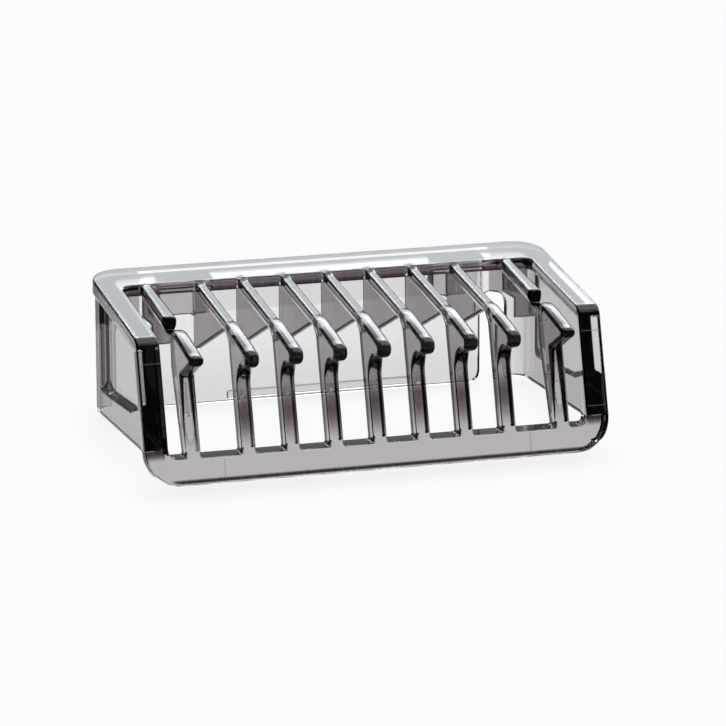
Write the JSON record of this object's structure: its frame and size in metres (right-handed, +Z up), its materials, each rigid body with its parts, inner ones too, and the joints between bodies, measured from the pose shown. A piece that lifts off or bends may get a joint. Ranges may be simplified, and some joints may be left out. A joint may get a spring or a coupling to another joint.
{
  "type": "clip-on stubble comb",
  "caption": "Clear smoke-grey clip-on comb for a face trimmer, with rounded teeth over an open blade cavity and a springy rear latch tab.",
  "frame": {"origin": "middle of the bounding box's bottom face, on the table plane the comb rests on", "axes": "+X across the comb's width, +Y to the rear, towards the latch tab, +Z up"},
  "size_m": [0.039, 0.0208, 0.0115],
  "materials": {
    "smoke_clear": "clear smoke-grey moulded plastic, polished"
  },
  "bodies": {
    "comb": {"top_rail": "smoke_clear", "front_rail": "smoke_clear", "left_side_rail": "smoke_clear", "right_side_rail": "smoke_clear", "left_cheek": "smoke_clear", "right_cheek": "smoke_clear", "left_grip_step": "smoke_clear", "right_grip_step": "smoke_clear", "rear_skirt": "smoke_clear", "left_latch_root": "smoke_clear", "right_latch_root": "smoke_clear", "comb_tooth_1": "smoke_clear", "comb_tooth_2": "smoke_clear", "comb_tooth_3": "smoke_clear", "comb_tooth_4": "smoke_clear", "comb_tooth_5": "smoke_clear", "comb_tooth_6": "smoke_clear", "comb_tooth_7": "smoke_clear", "comb_tooth_8": "smoke_clear", "comb_tooth_9": "smoke_clear"},
    "latch": {"latch_tab": "smoke_clear", "latch_bead": "smoke_clear"}
  },
  "joints": [
    {"name": "latch_flex", "type": "hinge", "parent": "comb", "child": "latch", "pos_m": [0, 0.00887, 0.00712], "axis": [1, 0, 0], "range_deg": [0, 7]}
  ]
}
